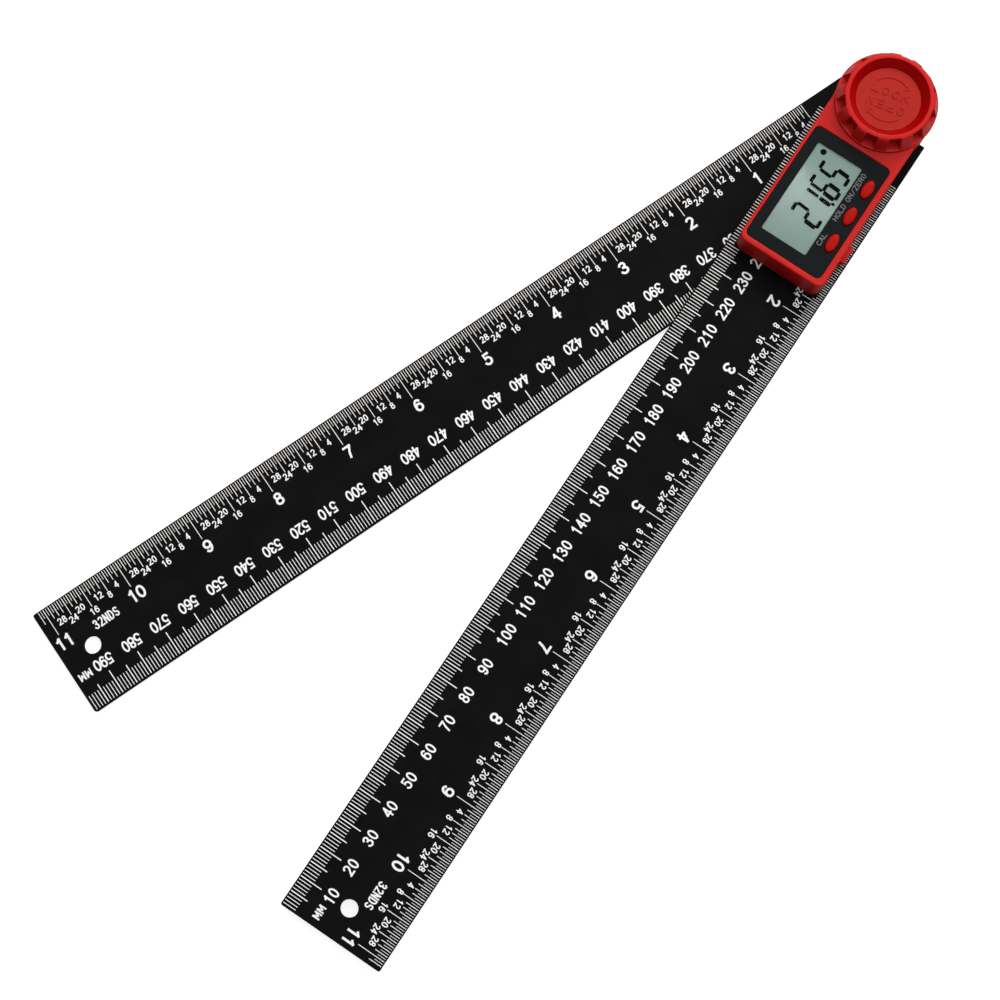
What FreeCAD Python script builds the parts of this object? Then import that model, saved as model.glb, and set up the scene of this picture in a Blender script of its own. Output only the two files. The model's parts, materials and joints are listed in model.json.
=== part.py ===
import FreeCAD, Part
import math
import os

# Angle finder with two arms: two flat rules on one pivot, a display head on the upper rule and a
# lock knob on the pivot. Millimetres. The origin is on the pivot axis, in the underside of the
# lower rule; +X runs along the head rule to its free end, +Y to its inch edge, +Z up to the knob.

# ---- rules ----
RULE_LENGTH = 300.0          # pivot axis to the free end
RULE_WIDTH = 34.7
RULE_THICK = 2.5
RULE_CORNER_R = 0.6          # corners of the free end
SHOULDER_X = 1.0             # where the full width stops, just before the pivot
NOSE_INSET = 1.8             # the round nose is this much inside the rule's edges
HANG_HOLE_R = 2.65
HANG_HOLE_INSET = 10.0       # hole axis to the free end
REST_ANGLE = 21.65           # the angle that the two rules stand at, in degrees

# ---- display head ----
HEAD_END_X = 60.6
HEAD_HALF_WIDTH = 14.85
HEAD_FLARE = 0.7             # the round end stands this much wider than the straight sides
HEAD_WALL = 1.5
HEAD_CORNER_R = 2.6
HEAD_EDGE_R = 0.5            # round-over of the top edge
BASE_THICK = 1.0
ROOF_THICK = 1.3             # under the faceplate
RIM_STEP = 0.2               # the rim stands above the faceplate
BASE_CLEARANCE = 0.1         # base plate inside the shell

# ---- faceplate, window and display ----
FACE_X0 = 17.2
FACE_END_RIM = 1.9           # rim beyond the faceplate at the far end
FACE_SCALE_RIM = 1.0         # rim beside the faceplate, millimetre side
FACE_BUTTON_RIM = 2.05       # rim beside the faceplate, button side
FACE_THICK = 0.6
FACE_CORNER_R = 1.8
FACE_CLEARANCE = 0.1
WINDOW_INSET_X = 4.4         # faceplate's ends to the window
WINDOW_INSET_Y = 3.35        # faceplate's millimetre side to the window
WINDOW_BUTTON_GAP = 3.0      # window to the buttons
WINDOW_CORNER_R = 0.5
WINDOW_CLEARANCE = 0.05
LCD_MARGIN = 1.2             # glass hidden behind the faceplate, each side
LCD_CLEARANCE = 0.15
FRAME_INSET = 0.4            # display frame inside the glass outline
FRAME_WALL = 0.8
ZEBRA_WIDTH = 1.5
ZEBRA_HEIGHT = 1.1
ZEBRA_END_GAP = 1.5          # strip's end to the frame
ZEBRA_CLEARANCE = 0.1

# ---- buttons ----
BUTTON_NAMES = ("power_button", "hold_button", "cal_button")
BUTTON_X0 = 26.5
BUTTON_PITCH = 10.05
BUTTON_INSET = 2.9           # row's centre line to the faceplate's edge
BUTTON_LENGTH = 6.4
BUTTON_WIDTH = 3.4
BUTTON_PROUD = 0.9           # above the faceplate
BUTTON_EDGE_R = 0.6
BUTTON_CLEARANCE = 0.15
BUTTON_FLANGE = 0.5          # flange's overhang and thickness
BUTTON_TRAVEL = 0.5
BUTTON_ROOF = 0.7            # roof left above the flange
SWITCH_R = 1.7
SWITCH_PLUNGER_R = 0.8
SWITCH_PLUNGER = 0.25
SWITCH_GAP = 0.05            # between plunger and a button pressed home

# ---- circuit board and its parts ----
BOARD_THICK = 1.0
BOARD_OVERHANG = 0.6         # board beyond the faceplate's pivot end
BOARD_CLEARANCE = 0.35
BOARD_SCREW_R = 0.6
BOARD_SCREW_HEAD_R = 1.15
BOARD_SCREW_HEAD = 0.5
BOARD_SCREW_INSET = 7.35     # inside of the shell's side to a screw
BOARD_SCREW_BITE = 0.5       # screw tip into the roof
STANDOFF_R = 1.2
STANDOFF_GAP = 0.15          # standoff to the display glass
CHIP_LENGTH = 7.0
CHIP_WIDTH = 5.0
CHIP_HEIGHT = 0.7
CHIP_INSET_X = 4.1           # centre, from the display glass's corner
CHIP_INSET_Y = 6.7
PASSIVE_LENGTH = 1.6
PASSIVE_WIDTH = 0.8
PASSIVE_HEIGHT = 0.6
PASSIVE_PITCH = 2.2
PASSIVE_COUNT = 4
PASSIVE_INSET_X = 1.6        # first one, from the display glass's corner
PASSIVE_INSET_Y = 3.4

# ---- case screws ----
CASE_BOSS_R = 1.9
CASE_BOSS_SINK = 0.3         # boss into the wall beside it
CASE_BOSS_INSET = 0.1        # near pair, from the faceplate's pivot end
CASE_SCREW_R = 1.0
CASE_SCREW_HEAD_R = 2.0
CASE_SCREW_HEAD = 1.0
CASE_SCREW_LENGTH = 8.6
SCREW_CLEARANCE = 0.05

# ---- battery tray and coin cell ----
CELL_R = 10.0
CELL_THICK = 3.2
CELL_EDGE_R = 0.4
TRAY_BOSS_GAP = 1.0          # between the tray and the far screw boss
CELL_CLEARANCE = 0.1
CELL_PROUD = 0.3             # the cell stands out of the tray's side walls
TRAY_WALL = 1.0
TRAY_FLOOR = 0.5
TRAY_CLEARANCE = 0.1
TAB_OFFSET = 1.5             # tab's middle beyond the cell's
TAB_LENGTH = 6.0
TAB_REACH = 1.5
TAB_HEIGHT = 2.4
TAB_RISE = 0.6               # tab above the tray's underside
NOTCH_LENGTH = 1.6
NOTCH_DEPTH = 0.7
GUIDE_WALL = 0.8
GUIDE_HEIGHT = 1.2
CONTACT_ROOM = 0.9           # between the cell and the board
CONTACT_GAP = 0.05
CONTACT_THICK = 0.2
CONTACT_WIDTH = 3.0
CONTACT_PAD = 4.0
CONTACT_REACH = 6.0
CONTACT_TIP = 1.0            # flat end of a tongue
CHANNEL_CLEARANCE = 0.7      # tray's channel beside the lower contact
BASE_CONTACT_THICK = 0.15

# ---- pivot ----
STUD_HEAD_R = 8.0
STUD_HEAD = 1.2
STUD_HEX = 10.0              # across the flats, keyed into the free rule
STUD_JOURNAL_R = 4.5
STUD_SEAT_R = 4.2            # D-shaped seat of the rotor
STUD_FLAT = 3.4              # flat of the D from the axis
STUD_SHAFT_R = 3.5
STUD_THREAD_R = 3.0
STUD_TIP_GAP = 0.3           # stud's tip below the knob's centre disc
STUD_CHAMFER = 0.4
PIVOT_CLEARANCE = 0.03
SEAT_CLEARANCE = 0.05
SLIP_THICK = 0.3
SLIP_INSET = 1.55            # washer's rim inside the rule's nose
BUSH_WALL = 2.0
BUSH_FLANGE = 2.0
BUSH_FLANGE_THICK = 0.6
NECK_CLEARANCE = 0.1
NECK_WALL = 2.4
NECK_GAP = 0.4               # rotor's hub to the shell's neck
WAVE_THICK = 0.4
WAVE_R = 6.8
WELL_DEPTH = 1.2             # the washer's and ring's well in the top of the head
WELL_CLEARANCE = 0.4
RING_THICK = 0.6
RING_R = 5.6
RING_GROOVE = 0.5            # depth of the ring's groove in the stud
RING_SLOT = 3.4

# ---- angle encoder ----
STATOR_CLEARANCE = 0.35      # stator's rim inside the shell
STATOR_BORE_GAP = 0.47       # stator's bore round the bush's flange
STATOR_THICK = 0.8
STATOR_RISE = 0.7            # the base plate's ledge under the stator
STATOR_TAB_GAP = 1.2         # between the stator's tab and the main board
STATOR_TAB_WIDTH = 7.0
LEDGE_INSET = 0.6
ROTOR_INSET = 0.6            # rotor's rim inside the stator's
ROTOR_THICK = 0.8
ROTOR_GAP = 0.35             # air gap between stator and rotor
ROTOR_HUB_WALL = 3.3
ROTOR_HUB_GAP = 0.05
ROTOR_HUB_TOP = 0.8
RIBBON_WIDTH = 5.0
RIBBON_THICK = 0.25
RIBBON_LAP = 1.2             # ribbon's end on each board

# ---- lock knob ----
KNOB_WASHER_THICK = 0.3
KNOB_WASHER_INSET = 0.6
KNOB_R = 15.8                # at the knob's mouth
KNOB_TAPER = 1.9             # the grip's top is this much smaller
KNOB_WALL = 3.6
KNOB_SKIRT = 0.6             # plain ring below the flutes
KNOB_HEIGHT = 5.4
KNOB_EDGE_R = 1.2
KNOB_WEB = 0.9
KNOB_HUB_WALL = 2.5
KNOB_HUB_GAP = 0.5           # hub above the retaining ring
RIM_WIDTH = 1.7
RIM_EDGE_R = 0.5
DISH_SLOPE = 2.1             # width of the slope between the rim and the centre disc
DISH_DEPTH = 2.5             # rim's top to the centre disc
CAP_THICK = 0.5
CAP_CLEARANCE = 0.1
INSERT_WALL = 2.0
INSERT_STEP = 0.1            # insert's end below the dish floor
THREAD_CLEARANCE = 0.05
FLUTE_COUNT = 12
FLUTE_START = 9.0            # the first flute's angle from the head's axis, in degrees
FLUTE_WIDTH = 3.8
FLUTE_DEPTH = 2.8            # from the mouth's radius, below the rim
FLUTE_SCALLOP = 0.4          # from the top's radius, over the rim
FLUTE_RIM = 1.3              # height of the rim over the deep part

# ---- levels, from the ground up ----
SLIP_Z = RULE_THICK
HEAD_RULE_Z = SLIP_Z + SLIP_THICK
BASE_Z = HEAD_RULE_Z + RULE_THICK
BASE_TOP = BASE_Z + BASE_THICK
TRAY_Z = BASE_TOP + TRAY_CLEARANCE
CELL_Z = TRAY_Z + TRAY_FLOOR
CELL_TOP = CELL_Z + CELL_THICK
BOARD_Z = CELL_TOP + CONTACT_ROOM
BOARD_TOP = BOARD_Z + BOARD_THICK
ROOF_Z = BOARD_TOP + ZEBRA_HEIGHT
RECESS_Z = ROOF_Z + ROOF_THICK
FACE_TOP = RECESS_Z + FACE_THICK
HEAD_TOP = FACE_TOP + RIM_STEP
STATOR_Z = BASE_TOP + STATOR_RISE
ROTOR_Z = STATOR_Z + STATOR_THICK + ROTOR_GAP
HUB_Z = BASE_TOP + BUSH_FLANGE_THICK + ROTOR_HUB_GAP
HUB_TOP = ROTOR_Z + ROTOR_THICK + ROTOR_HUB_TOP
WELL_Z = HEAD_TOP - WELL_DEPTH
RING_Z = WELL_Z + WAVE_THICK
RING_TOP = RING_Z + RING_THICK
KNOB_Z = HEAD_TOP + KNOB_WASHER_THICK
KNOB_TOP = KNOB_Z + KNOB_HEIGHT
KNOB_HUB_Z = RING_TOP + KNOB_HUB_GAP
CAP_Z = KNOB_TOP - DISH_DEPTH - CAP_THICK

# ---- places in plan ----
INNER_HALF = HEAD_HALF_WIDTH - HEAD_WALL
INNER_END = HEAD_END_X - HEAD_WALL
HEAD_NOSE_R = HEAD_HALF_WIDTH + HEAD_FLARE
FACE_X1 = HEAD_END_X - FACE_END_RIM
FACE_Y0 = FACE_SCALE_RIM - HEAD_HALF_WIDTH
FACE_Y1 = HEAD_HALF_WIDTH - FACE_BUTTON_RIM
WINDOW_X0 = FACE_X0 + WINDOW_INSET_X
WINDOW_X1 = FACE_X1 - WINDOW_INSET_X
WINDOW_Y0 = FACE_Y0 + WINDOW_INSET_Y
BUTTON_Y = FACE_Y1 - BUTTON_INSET
WINDOW_Y1 = BUTTON_Y - BUTTON_WIDTH / 2 - WINDOW_BUTTON_GAP
LCD_X0 = WINDOW_X0 - LCD_MARGIN
LCD_X1 = WINDOW_X1 + LCD_MARGIN
LCD_Y0 = WINDOW_Y0 - LCD_MARGIN
LCD_Y1 = WINDOW_Y1 + LCD_MARGIN
BUTTON_XS = [BUTTON_X0 + BUTTON_PITCH * i for i in range(len(BUTTON_NAMES))]
CASE_Y = INNER_HALF - CASE_BOSS_R + CASE_BOSS_SINK
CASE_BOSS_X = FACE_X0 + CASE_BOSS_INSET
CASE_FAR_X = INNER_END - CASE_BOSS_R + CASE_BOSS_SINK
CASE_POINTS = [(x, y) for x in (CASE_BOSS_X, CASE_FAR_X) for y in (-CASE_Y, CASE_Y)]
BOARD_X0 = FACE_X0 - BOARD_OVERHANG
BOARD_SCREW_Y = INNER_HALF - BOARD_SCREW_INSET
CHIP_X = LCD_X0 + CHIP_INSET_X
CHIP_Y = LCD_Y0 + CHIP_INSET_Y
PASSIVE_X = LCD_X0 + PASSIVE_INSET_X
PASSIVE_Y = LCD_Y1 - PASSIVE_INSET_Y
STANDOFF_REACH = LCD_CLEARANCE + STANDOFF_GAP + STANDOFF_R
STANDOFF_POINTS = [(x, y) for x in (LCD_X0 - STANDOFF_REACH, LCD_X1 + STANDOFF_REACH)
                   for y in (-BOARD_SCREW_Y, BOARD_SCREW_Y)]
POCKET_R = CELL_R + CELL_CLEARANCE
CELL_Y = INNER_HALF - TRAY_WALL - POCKET_R
TRAY_X1 = CASE_FAR_X - CASE_BOSS_R - TRAY_BOSS_GAP
CELL_X = TRAY_X1 - TRAY_WALL - POCKET_R
TRAY_X0 = CELL_X - POCKET_R - TRAY_WALL
TAB_X = CELL_X + TAB_OFFSET
TRAY_Y0 = CELL_Y - POCKET_R - TRAY_WALL
INSERT_R = STUD_THREAD_R + THREAD_CLEARANCE + INSERT_WALL
BUSH_BORE_R = STUD_JOURNAL_R + PIVOT_CLEARANCE
BUSH_R = BUSH_BORE_R + BUSH_WALL
SLIP_R = RULE_WIDTH / 2 - NOSE_INSET - SLIP_INSET
STATOR_R = INNER_HALF - STATOR_CLEARANCE
STATOR_BORE_R = BUSH_R + BUSH_FLANGE + STATOR_BORE_GAP
STATOR_TAB_X = BOARD_X0 - STATOR_TAB_GAP
ROTOR_R = STATOR_R - ROTOR_INSET
ROTOR_HUB_R = STUD_SEAT_R + ROTOR_HUB_WALL
KNOB_TOP_R = KNOB_R - KNOB_TAPER
KNOB_BORE_R = KNOB_R - KNOB_WALL
KNOB_WASHER_R = KNOB_R - KNOB_WASHER_INSET
RIM_INNER_R = KNOB_TOP_R - RIM_WIDTH
DISH_R = RIM_INNER_R - DISH_SLOPE
OVERCUT = 1.0                # how far a cutting tool runs past the face it opens

PIVOT = FreeCAD.Vector(0, 0, 0)
UP = FreeCAD.Vector(0, 0, 1)


def box(x0, x1, y0, y1, z0, z1):
    return Part.makeBox(x1 - x0, y1 - y0, z1 - z0, FreeCAD.Vector(x0, y0, z0))


def rod(radius, z0, z1, x=0.0, y=0.0):
    return Part.makeCylinder(radius, z1 - z0, FreeCAD.Vector(x, y, z0))


def ring(inner, outer, z0, z1):
    return rod(outer, z0, z1).cut(rod(inner, z0 - OVERCUT, z1 + OVERCUT))


def prism(edges, z0, z1):
    """A face bounded by the edges, carried straight up from z0 to z1."""
    face = Part.Face(Part.Wire(Part.__sortEdges__(edges)))
    face.translate(FreeCAD.Vector(0, 0, z0))
    return face.extrude(FreeCAD.Vector(0, 0, z1 - z0))


def line(a, b):
    return Part.makeLine(FreeCAD.Vector(a[0], a[1], 0), FreeCAD.Vector(b[0], b[1], 0))


def arc(a, middle, b):
    points = [FreeCAD.Vector(p[0], p[1], 0) for p in (a, middle, b)]
    return Part.Arc(*points).toShape()


def corner(x, y, r, sx, sy):
    """Quarter circle that rounds the corner at x, y; sx and sy point out of the outline."""
    cx, cy = x - sx * r, y - sy * r
    bend = r * math.sqrt(0.5)
    return arc((x, cy), (cx + sx * bend, cy + sy * bend), (cx, y))


def round_box(x0, x1, y0, y1, z0, z1, r):
    edges = [line((x0 + r, y0), (x1 - r, y0)), corner(x1, y0, r, 1, -1),
             line((x1, y0 + r), (x1, y1 - r)), corner(x1, y1, r, 1, 1),
             line((x1 - r, y1), (x0 + r, y1)), corner(x0, y1, r, -1, 1),
             line((x0, y1 - r), (x0, y0 + r)), corner(x0, y0, r, -1, -1)]
    return prism(edges, z0, z1)


def oval(x, y, length, width, z0, z1):
    curve = Part.Ellipse(FreeCAD.Vector(x, y, z0), length / 2, width / 2)
    face = Part.Face(Part.Wire([curve.toShape()]))
    return face.extrude(FreeCAD.Vector(0, 0, z1 - z0))


def keyhole(inset, z0, z1):
    """The head's outline in plan, inset all round: a round end about the pivot, then a box."""
    half = HEAD_HALF_WIDTH - inset
    end = HEAD_END_X - inset
    nose = HEAD_NOSE_R - inset
    r = max(HEAD_CORNER_R - inset, HEAD_CORNER_R / 4)
    neck = math.sqrt(nose ** 2 - half ** 2)
    edges = [arc((neck, half), (-nose, 0), (neck, -half)),
             line((neck, -half), (end - r, -half)), corner(end, -half, r, 1, -1),
             line((end, r - half), (end, half - r)), corner(end, half, r, 1, 1),
             line((end - r, half), (neck, half))]
    return prism(edges, z0, z1)


def d_shape(radius, flat, z0, z1):
    return rod(radius, z0, z1).common(box(-radius, flat, -radius, radius, z0, z1))


def hexagon(across, z0, z1):
    reach = across / math.sqrt(3)
    corners = [(reach * math.cos(math.radians(60 * i)), reach * math.sin(math.radians(60 * i)))
               for i in range(6)]
    edges = [line(corners[i - 1], corners[i]) for i in range(6)]
    return prism(edges, z0, z1)


def edges_at(shape, z):
    return [e for e in shape.Edges
            if abs(e.BoundBox.ZMin - z) < 1e-6 and abs(e.BoundBox.ZMax - z) < 1e-6]


def turned(shape):
    """The free rule and what turns with it stand at the rest angle, clockwise from above."""
    copy = shape.copy()
    copy.rotate(PIVOT, UP, -REST_ANGLE)
    return copy


def rule_blank(z0):
    """A flat rule along +X: full width to the shoulder, then a round nose about the pivot."""
    half = RULE_WIDTH / 2
    nose = half - NOSE_INSET
    step = math.sqrt(nose ** 2 - SHOULDER_X ** 2)
    r = RULE_CORNER_R
    end = RULE_LENGTH
    edges = [arc((SHOULDER_X, step), (-nose, 0), (SHOULDER_X, -step)),
             line((SHOULDER_X, -step), (SHOULDER_X, -half)),
             line((SHOULDER_X, -half), (end - r, -half)), corner(end, -half, r, 1, -1),
             line((end, r - half), (end, half - r)), corner(end, half, r, 1, 1),
             line((end - r, half), (SHOULDER_X, half)),
             line((SHOULDER_X, half), (SHOULDER_X, step))]
    top = z0 + RULE_THICK
    hole = rod(HANG_HOLE_R, z0 - OVERCUT, top + OVERCUT, RULE_LENGTH - HANG_HOLE_INSET)
    return prism(edges, z0, top).cut(hole)


def case_screw(x, y, clearance):
    """Countersunk screw, head flush with the head rule's underside; grown by a clearance."""
    z = HEAD_RULE_Z
    point = FreeCAD.Vector(x, y, z)
    head = Part.makeCone(CASE_SCREW_HEAD_R + clearance, CASE_SCREW_R + clearance,
                         CASE_SCREW_HEAD, point)
    return head.fuse(rod(CASE_SCREW_R + clearance, z, z + CASE_SCREW_LENGTH + clearance, x, y))


def cut_case_screws(shape):
    for x, y in CASE_POINTS:
        shape = shape.cut(case_screw(x, y, SCREW_CLEARANCE))
    return shape


def head_rule():
    blank = rule_blank(HEAD_RULE_Z)
    blank = blank.cut(rod(BUSH_R, HEAD_RULE_Z - OVERCUT, BASE_Z + OVERCUT))
    return cut_case_screws(blank)


def free_rule():
    blank = rule_blank(0.0)
    key = hexagon(STUD_HEX + 2 * SEAT_CLEARANCE, -OVERCUT, RULE_THICK + OVERCUT)
    seat = rod(STUD_HEAD_R + SEAT_CLEARANCE, -OVERCUT, STUD_HEAD)
    return turned(blank.cut(key).cut(seat))


def housing_base():
    plate = keyhole(HEAD_WALL + BASE_CLEARANCE, BASE_Z, BASE_TOP)
    ledge = ring(STATOR_BORE_R + LEDGE_INSET, STATOR_R, BASE_TOP, STATOR_Z)
    plate = plate.fuse(ledge)
    for inner_x, outer_x in ((TRAY_X0 - TRAY_CLEARANCE, TRAY_X0 - TRAY_CLEARANCE - GUIDE_WALL),
                             (TRAY_X1 + TRAY_CLEARANCE, TRAY_X1 + TRAY_CLEARANCE + GUIDE_WALL)):
        x0, x1 = sorted((inner_x, outer_x))
        guide = box(x0, x1, TRAY_Y0, INNER_HALF - BASE_CLEARANCE, BASE_TOP,
                    BASE_TOP + GUIDE_HEIGHT)
        boss = rod(CASE_BOSS_R + BASE_CLEARANCE, BASE_TOP, ROOF_Z, CASE_FAR_X, CASE_Y)
        plate = plate.fuse(guide.cut(boss))
    plate = plate.cut(rod(BUSH_R + SEAT_CLEARANCE, BASE_Z - OVERCUT, BASE_TOP + OVERCUT))
    return cut_case_screws(plate)


def housing_shell():
    shell = keyhole(0.0, BASE_Z, HEAD_TOP)
    shell = shell.makeFillet(HEAD_EDGE_R, edges_at(shell, HEAD_TOP))
    shell = shell.cut(keyhole(HEAD_WALL, BASE_Z - OVERCUT, ROOF_Z))
    for x, y in CASE_POINTS:
        shell = shell.fuse(rod(CASE_BOSS_R, BASE_TOP, ROOF_Z + ROOF_THICK / 2, x, y))
    for x, y in STANDOFF_POINTS:
        shell = shell.fuse(rod(STANDOFF_R, BOARD_TOP, ROOF_Z + ROOF_THICK / 2, x, y))
    neck_bore = STUD_SHAFT_R + NECK_CLEARANCE
    shell = shell.fuse(rod(neck_bore + NECK_WALL, HUB_TOP + NECK_GAP, ROOF_Z + ROOF_THICK / 2))
    shell = shell.cut(rod(neck_bore, BASE_Z, HEAD_TOP + OVERCUT))
    shell = shell.cut(rod(WAVE_R + WELL_CLEARANCE, WELL_Z, HEAD_TOP + OVERCUT))
    shell = shell.cut(round_box(FACE_X0, FACE_X1, FACE_Y0, FACE_Y1, RECESS_Z,
                                HEAD_TOP + OVERCUT, FACE_CORNER_R))
    shell = shell.cut(box(LCD_X0 - LCD_CLEARANCE, LCD_X1 + LCD_CLEARANCE,
                          LCD_Y0 - LCD_CLEARANCE, LCD_Y1 + LCD_CLEARANCE,
                          ROOF_Z - OVERCUT, HEAD_TOP))
    flange = 2 * (BUTTON_FLANGE + BUTTON_CLEARANCE)
    for x in BUTTON_XS:
        shell = shell.cut(oval(x, BUTTON_Y, BUTTON_LENGTH + 2 * BUTTON_CLEARANCE,
                               BUTTON_WIDTH + 2 * BUTTON_CLEARANCE, ROOF_Z - OVERCUT, HEAD_TOP))
        shell = shell.cut(oval(x, BUTTON_Y, BUTTON_LENGTH + flange, BUTTON_WIDTH + flange,
                               ROOF_Z - OVERCUT, RECESS_Z - BUTTON_ROOF))
    for x, y in STANDOFF_POINTS:
        shell = shell.cut(rod(BOARD_SCREW_R + SCREW_CLEARANCE, BOARD_TOP - OVERCUT,
                              ROOF_Z + BOARD_SCREW_BITE + SCREW_CLEARANCE, x, y))
    shell = shell.cut(box(TRAY_X0 - TRAY_CLEARANCE, TRAY_X1 + TRAY_CLEARANCE, INNER_HALF - OVERCUT,
                          HEAD_HALF_WIDTH + OVERCUT, BASE_TOP, CELL_TOP + TRAY_CLEARANCE))
    return cut_case_screws(shell)


def faceplate():
    plate = round_box(FACE_X0 + FACE_CLEARANCE, FACE_X1 - FACE_CLEARANCE,
                      FACE_Y0 + FACE_CLEARANCE, FACE_Y1 - FACE_CLEARANCE,
                      RECESS_Z, FACE_TOP, FACE_CORNER_R - FACE_CLEARANCE)
    plate = plate.cut(round_box(WINDOW_X0, WINDOW_X1, WINDOW_Y0, WINDOW_Y1,
                                RECESS_Z - OVERCUT, FACE_TOP + OVERCUT, WINDOW_CORNER_R))
    for x in BUTTON_XS:
        plate = plate.cut(oval(x, BUTTON_Y, BUTTON_LENGTH + 2 * BUTTON_CLEARANCE,
                               BUTTON_WIDTH + 2 * BUTTON_CLEARANCE,
                               RECESS_Z - OVERCUT, FACE_TOP + OVERCUT))
    return plate


def display_window():
    gap = WINDOW_CLEARANCE
    return round_box(WINDOW_X0 + gap, WINDOW_X1 - gap, WINDOW_Y0 + gap, WINDOW_Y1 - gap,
                     RECESS_Z, FACE_TOP, WINDOW_CORNER_R - gap)


def lcd_glass():
    return box(LCD_X0, LCD_X1, LCD_Y0, LCD_Y1, ROOF_Z, RECESS_Z)


def lcd_frame():
    inset = FRAME_INSET + FRAME_WALL
    outer = box(LCD_X0 + FRAME_INSET, LCD_X1 - FRAME_INSET, LCD_Y0 + FRAME_INSET,
                LCD_Y1 - FRAME_INSET, BOARD_TOP, ROOF_Z)
    return outer.cut(box(LCD_X0 + inset, LCD_X1 - inset, LCD_Y0 + inset, LCD_Y1 - inset,
                         BOARD_TOP - OVERCUT, ROOF_Z + OVERCUT))


def zebra_strips():
    inset = FRAME_INSET + FRAME_WALL + ZEBRA_CLEARANCE
    x0 = LCD_X0 + inset + ZEBRA_END_GAP
    x1 = LCD_X1 - inset - ZEBRA_END_GAP
    low = LCD_Y0 + inset
    high = LCD_Y1 - inset
    strips = [box(x0, x1, low, low + ZEBRA_WIDTH, BOARD_TOP, ROOF_Z),
              box(x0, x1, high - ZEBRA_WIDTH, high, BOARD_TOP, ROOF_Z)]
    return Part.makeCompound(strips)


def main_board():
    """The corners that the clearance round the far bosses cuts off are left out."""
    half = INNER_HALF - BOARD_CLEARANCE
    board = box(BOARD_X0, INNER_END - BOARD_CLEARANCE, -half, half, BOARD_Z, BOARD_TOP)
    for x, y in CASE_POINTS:
        board = board.cut(rod(CASE_BOSS_R + BOARD_CLEARANCE, BOARD_Z - OVERCUT,
                              BOARD_TOP + OVERCUT, x, y))
    for x, y in STANDOFF_POINTS:
        board = board.cut(rod(BOARD_SCREW_R + SCREW_CLEARANCE, BOARD_Z - OVERCUT,
                              BOARD_TOP + OVERCUT, x, y))
    return max(board.Solids, key=lambda solid: solid.Volume)


def board_screws():
    screws = []
    for x, y in STANDOFF_POINTS:
        head = rod(BOARD_SCREW_HEAD_R, BOARD_Z - BOARD_SCREW_HEAD, BOARD_Z, x, y)
        shank = rod(BOARD_SCREW_R, BOARD_Z - BOARD_SCREW_HEAD, ROOF_Z + BOARD_SCREW_BITE, x, y)
        screws.append(head.fuse(shank).removeSplitter())
    return Part.makeCompound(screws)


def controller_chip():
    return box(CHIP_X - CHIP_LENGTH / 2, CHIP_X + CHIP_LENGTH / 2, CHIP_Y - CHIP_WIDTH / 2,
               CHIP_Y + CHIP_WIDTH / 2, BOARD_Z - CHIP_HEIGHT, BOARD_Z)


def board_parts():
    parts = []
    for i in range(PASSIVE_COUNT):
        x = PASSIVE_X + PASSIVE_PITCH * i
        parts.append(box(x, x + PASSIVE_WIDTH, PASSIVE_Y, PASSIVE_Y + PASSIVE_LENGTH,
                         BOARD_Z - PASSIVE_HEIGHT, BOARD_Z))
    return Part.makeCompound(parts)


def switch_top():
    """The button's flange hangs under the roof; pressed home it just clears the plunger."""
    return RECESS_Z - BUTTON_ROOF - BUTTON_FLANGE - BUTTON_TRAVEL - SWITCH_GAP


def dome_switches():
    switches = []
    for x in BUTTON_XS:
        body = rod(SWITCH_R, BOARD_TOP, switch_top() - SWITCH_PLUNGER, x, BUTTON_Y)
        plunger = rod(SWITCH_PLUNGER_R, BOARD_TOP, switch_top(), x, BUTTON_Y)
        switches.append(body.fuse(plunger).removeSplitter())
    return Part.makeCompound(switches)


def button(x):
    flange_top = RECESS_Z - BUTTON_ROOF
    top = FACE_TOP + BUTTON_PROUD
    cap = oval(x, BUTTON_Y, BUTTON_LENGTH, BUTTON_WIDTH, flange_top - BUTTON_FLANGE, top)
    cap = cap.makeFillet(BUTTON_EDGE_R, edges_at(cap, top))
    flange = oval(x, BUTTON_Y, BUTTON_LENGTH + 2 * BUTTON_FLANGE, BUTTON_WIDTH + 2 * BUTTON_FLANGE,
                  flange_top - BUTTON_FLANGE, flange_top)
    return cap.fuse(flange).removeSplitter()


def leaf(points, width, x):
    """A bent strip: its side view in Y and Z, carried along X."""
    corners = [FreeCAD.Vector(x - width / 2, y, z) for y, z in points]
    face = Part.Face(Part.makePolygon(corners + corners[:1]))
    return face.extrude(FreeCAD.Vector(width, 0, 0))


def contact_positive():
    """Soldered under the board, its tongue reaches down to the cell's upper face."""
    root = CELL_Y + CONTACT_PAD
    end = CELL_Y - CONTACT_REACH - CONTACT_TIP
    tip = CELL_TOP + CONTACT_GAP
    return leaf([(root, BOARD_Z), (CELL_Y, BOARD_Z), (CELL_Y - CONTACT_REACH, tip + CONTACT_THICK),
                 (end, tip + CONTACT_THICK), (end, tip), (CELL_Y - CONTACT_REACH, tip),
                 (CELL_Y, BOARD_Z - CONTACT_THICK), (root, BOARD_Z - CONTACT_THICK)],
                CONTACT_WIDTH, CELL_X)


def contact_negative():
    """Lies on the base plate and rises to the cell's lower face inside the tray's channel."""
    root = CELL_Y - CONTACT_REACH
    tip = CELL_Z - CONTACT_GAP
    low = BASE_TOP + BASE_CONTACT_THICK
    return leaf([(root - CONTACT_PAD / 2, BASE_TOP), (root, BASE_TOP),
                 (CELL_Y - CONTACT_TIP, tip - BASE_CONTACT_THICK),
                 (CELL_Y, tip - BASE_CONTACT_THICK),
                 (CELL_Y, tip), (CELL_Y - CONTACT_TIP, tip), (root, low),
                 (root - CONTACT_PAD / 2, low)],
                CONTACT_WIDTH, CELL_X)


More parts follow.
